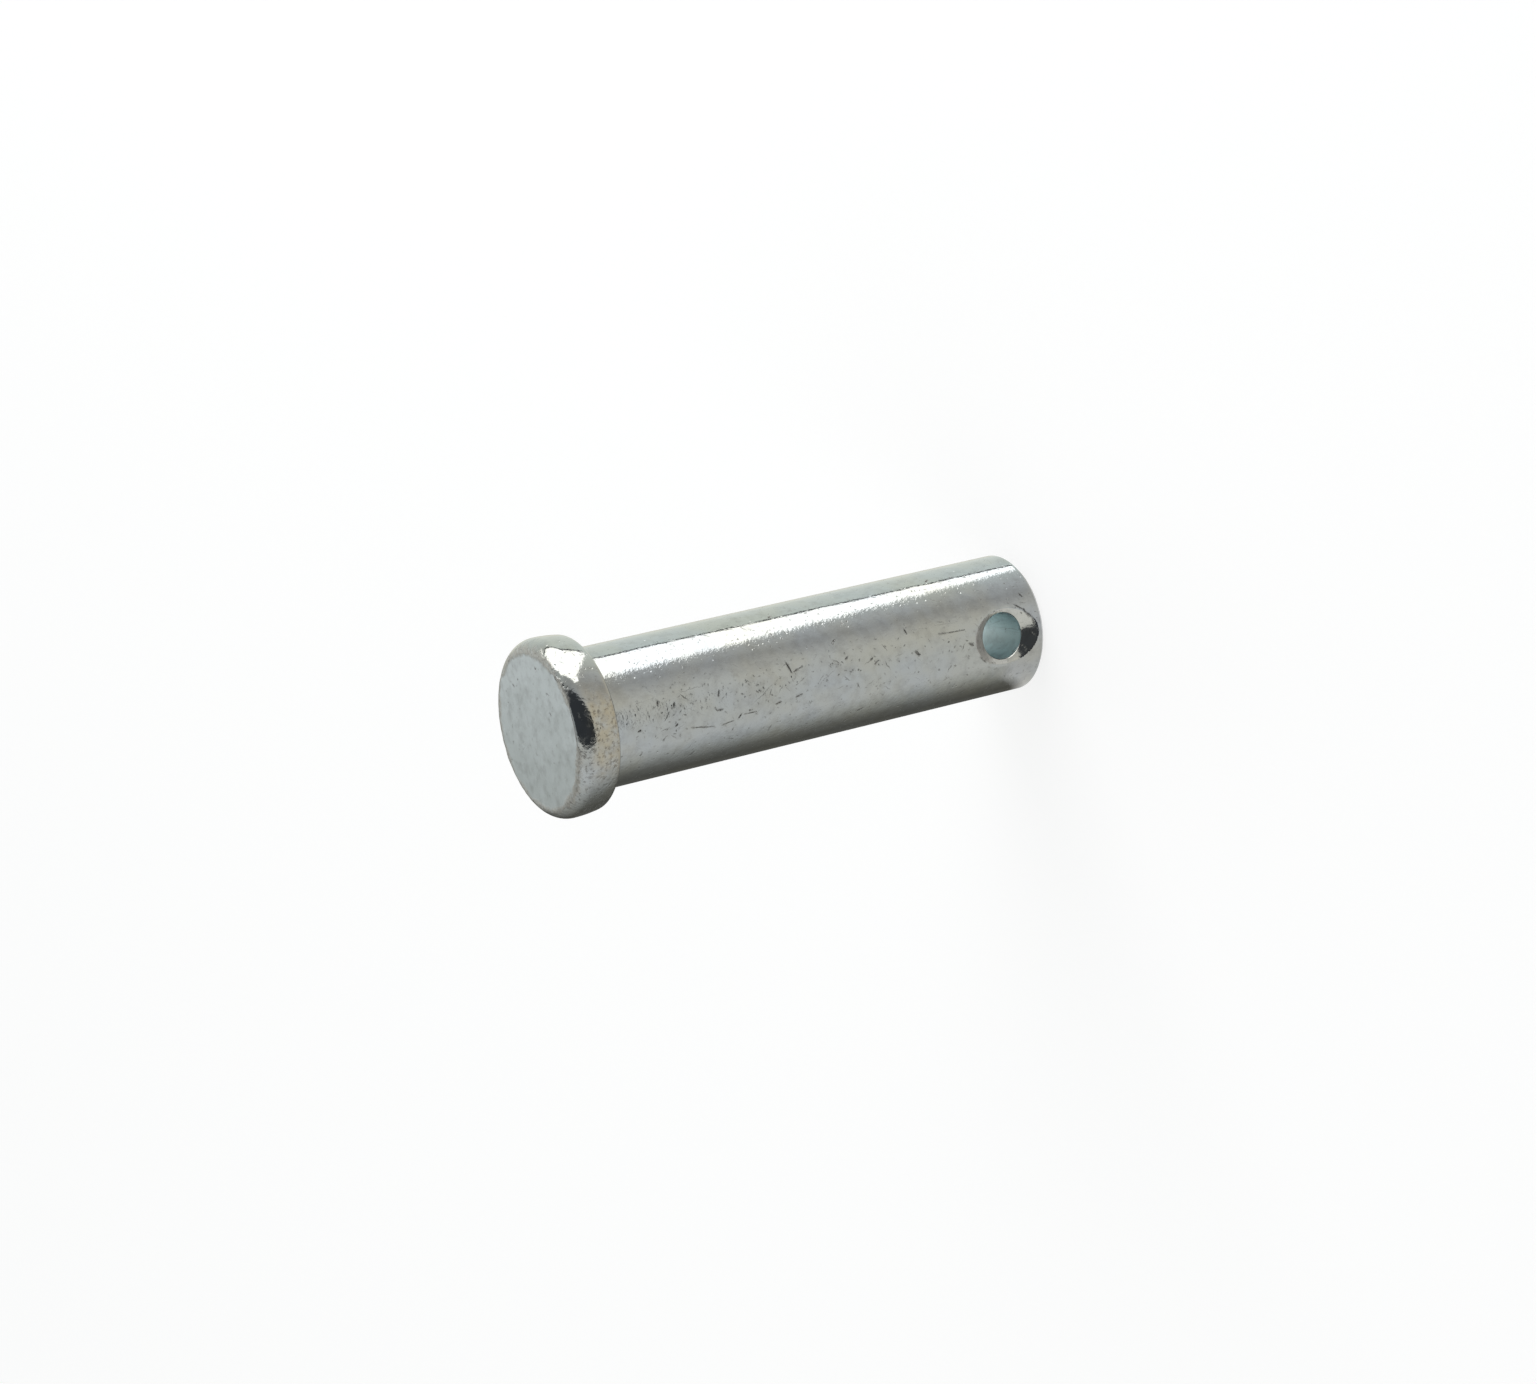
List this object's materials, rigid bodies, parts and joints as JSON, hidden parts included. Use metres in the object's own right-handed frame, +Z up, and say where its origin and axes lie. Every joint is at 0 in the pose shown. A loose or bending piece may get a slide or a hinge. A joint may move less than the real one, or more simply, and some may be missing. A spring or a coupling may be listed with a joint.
{
  "type": "linkage pin",
  "caption": "Headed round steel pin with a countersunk cross hole near its tail for a split pin, used to join the arms of a linkage.",
  "frame": {"origin": "centre of the flat tail end, on which the pin stands", "axes": "+Z up the shank towards the head, Y along the cross hole"},
  "size_m": [0.016, 0.0158, 0.0492],
  "materials": {
    "zinc_plated_steel": "bright zinc plating with fine handling scratches and nicks"
  },
  "bodies": {
    "root": {"linkage_pin": "zinc_plated_steel"}
  },
  "joints": []
}
